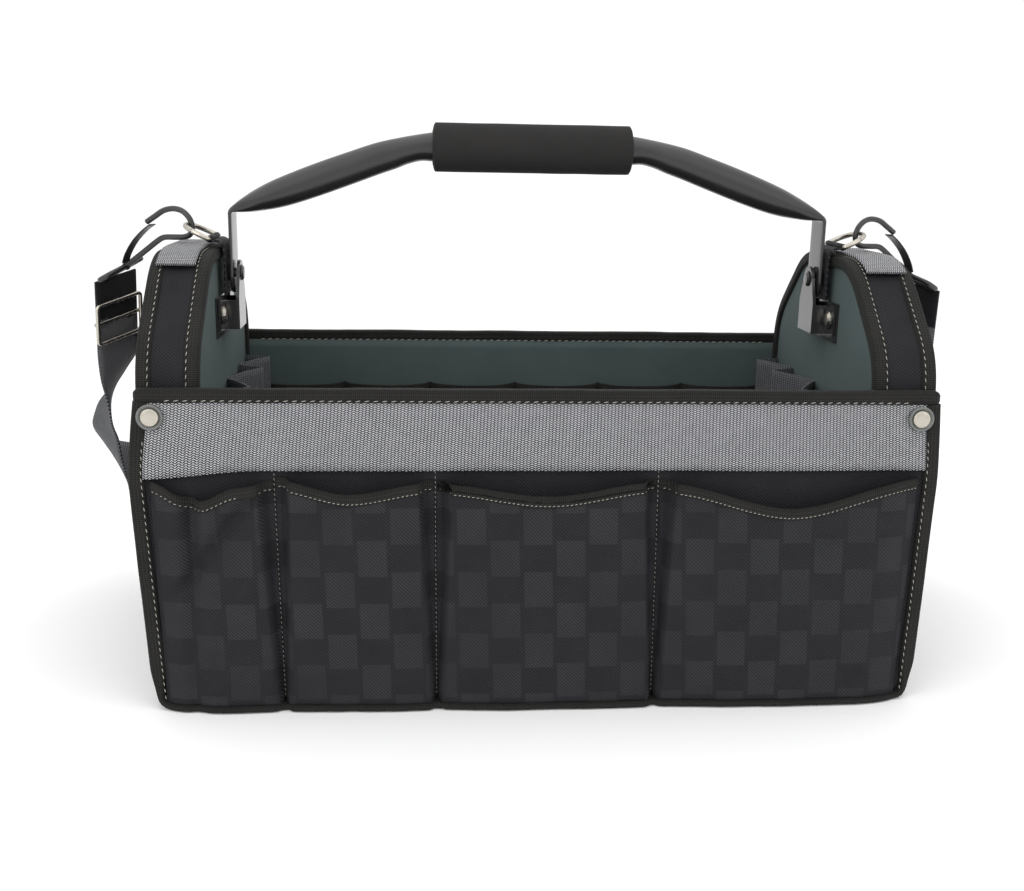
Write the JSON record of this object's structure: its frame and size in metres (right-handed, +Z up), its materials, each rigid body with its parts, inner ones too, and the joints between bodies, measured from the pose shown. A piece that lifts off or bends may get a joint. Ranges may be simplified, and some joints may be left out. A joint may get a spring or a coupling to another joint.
{
  "type": "tool tote",
  "caption": "Open-top fabric tool tote with outer and inner pockets, boxed ends, a folding steel pipe handle with a foam grip, and a clip-on webbing shoulder strap.",
  "frame": {"origin": "middle of the base, on the surface the bag stands on", "axes": "+X towards the right-hand end, -Y towards the rear face with the wider pockets on the right, +Z up"},
  "size_m": [0.596, 0.2818, 0.335],
  "materials": {
    "cloth": "near-black woven polyester with a small block pattern",
    "binding": "ribbed black binding tape",
    "webbing": "grey chevron webbing",
    "lining": "dark teal-grey plain lining",
    "foam": "matte foam sleeve",
    "black_steel": "semi-gloss black coating",
    "nickel": "satin nickel plating"
  },
  "bodies": {
    "bag": {"base_board": "cloth", "rear_wall": "cloth", "rear_rim_binding": "binding", "rear_edge_binding": "binding", "rear_band": "webbing", "rear_pocket_1": "cloth", "rear_pocket_2": "cloth", "rear_pocket_3": "cloth", "rear_pocket_4": "cloth", "rear_snap_left": "nickel", "rear_snap_right": "nickel", "front_wall": "cloth", "front_rim_binding": "binding", "front_edge_binding": "binding", "front_band": "webbing", "front_pocket_1": "cloth", "front_pocket_2": "cloth", "front_pocket_3": "cloth", "front_pocket_4": "cloth", "front_snap_left": "nickel", "front_snap_right": "nickel", "front_inner_pockets": "lining", "right_panel_inner": "lining", "right_panel_outer": "cloth", "right_gusset": "cloth", "right_binding_inner": "binding", "right_binding_outer": "binding", "right_crest_tape": "webbing", "right_ring_tab": "binding", "right_tool_loops": "webbing", "right_hinge_plate": "black_steel", "right_hinge_bracket": "black_steel", "right_hinge_screw_rear": "nickel", "right_hinge_screw_front": "nickel", "right_pivot_rivet": "black_steel", "right_strap": "webbing", "left_panel_inner": "lining", "left_panel_outer": "cloth", "left_gusset": "cloth", "left_binding_inner": "binding", "left_binding_outer": "binding", "left_crest_tape": "webbing", "left_ring_tab": "binding", "left_tool_loops": "webbing", "left_hinge_plate": "black_steel", "left_hinge_bracket": "black_steel", "left_hinge_screw_rear": "nickel", "left_hinge_screw_front": "nickel", "left_pivot_rivet": "black_steel", "left_strap": "webbing"},
    "handle": {"handle_tube": "black_steel", "handle_grip": "foam"},
    "right_clip": {"right_d_ring": "nickel", "right_snap_hook": "black_steel"},
    "left_clip": {"left_d_ring": "nickel", "left_snap_hook": "black_steel"},
    "right_gate": {"right_gate_leaf": "black_steel"},
    "left_gate": {"left_gate_leaf": "black_steel"},
    "slider": {"strap_slider": "nickel"}
  },
  "joints": [
    {"name": "handle_fold", "type": "hinge", "parent": "bag", "child": "handle", "pos_m": [0, 0, 0.241], "axis": [1, 0, 0], "range_deg": [-100, 100]},
    {"name": "right_ring_lift", "type": "hinge", "parent": "bag", "child": "right_clip", "pos_m": [0.199, 0, 0.2627], "axis": [0, -1, 0], "range_deg": [0, 60]},
    {"name": "left_ring_lift", "type": "hinge", "parent": "bag", "child": "left_clip", "pos_m": [-0.199, 0, 0.2627], "axis": [0, 1, 0], "range_deg": [0, 60]},
    {"name": "right_gate_press", "type": "hinge", "parent": "right_clip", "child": "right_gate", "pos_m": [0.25646, 0.0204, 0.24802], "axis": [0.4147, -0.91, 0], "range_deg": [0, 14], "stiffness_Nm_per_rad": 0.4},
    {"name": "left_gate_press", "type": "hinge", "parent": "left_clip", "child": "left_gate", "pos_m": [-0.25646, 0.0204, 0.24802], "axis": [0.4147, 0.91, 0], "range_deg": [0, 14], "stiffness_Nm_per_rad": 0.4},
    {"name": "slider_move", "type": "slide", "parent": "bag", "child": "slider", "axis": [-0.0697, 0.209, -0.9754], "range_m": [-0.004, 0.006]}
  ]
}
